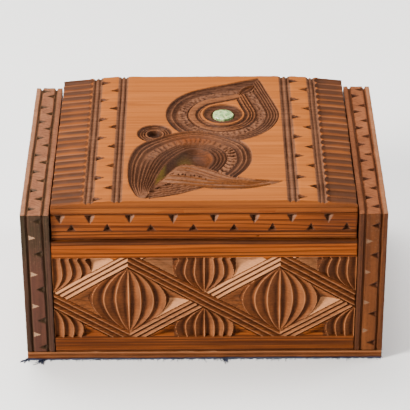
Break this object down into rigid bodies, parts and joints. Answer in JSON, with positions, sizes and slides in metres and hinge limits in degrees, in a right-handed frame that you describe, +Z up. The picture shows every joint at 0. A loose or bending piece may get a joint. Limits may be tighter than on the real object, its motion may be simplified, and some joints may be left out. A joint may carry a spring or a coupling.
{
  "type": "carved trinket box",
  "caption": "Small carved wooden box with a lift-off lid, chip-carved bands, a diamond lattice front, a sunk scroll figure and a round shell inlay.",
  "frame": {"origin": "on the table plane, under the middle of the felt pad", "axes": "+Z up; -Y towards the carved front; +X towards the right end board as the front is seen"},
  "size_m": [0.19, 0.1396, 0.0988],
  "materials": {
    "lid_wood": "semi-gloss varnish, fine grain",
    "panel_wood": "semi-gloss varnish, bold straight grain",
    "end_wood": "worn varnish, darkened edges",
    "felt": "matt felt with loose fibres",
    "shell": "polished nacre"
  },
  "bodies": {
    "root": {"felt_pad": "felt", "base_board": "panel_wood", "left_end_board": "end_wood", "right_end_board": "end_wood", "front_panel": "panel_wood", "back_panel": "panel_wood", "lid": "lid_wood", "shell_inlay": "shell"}
  },
  "joints": []
}
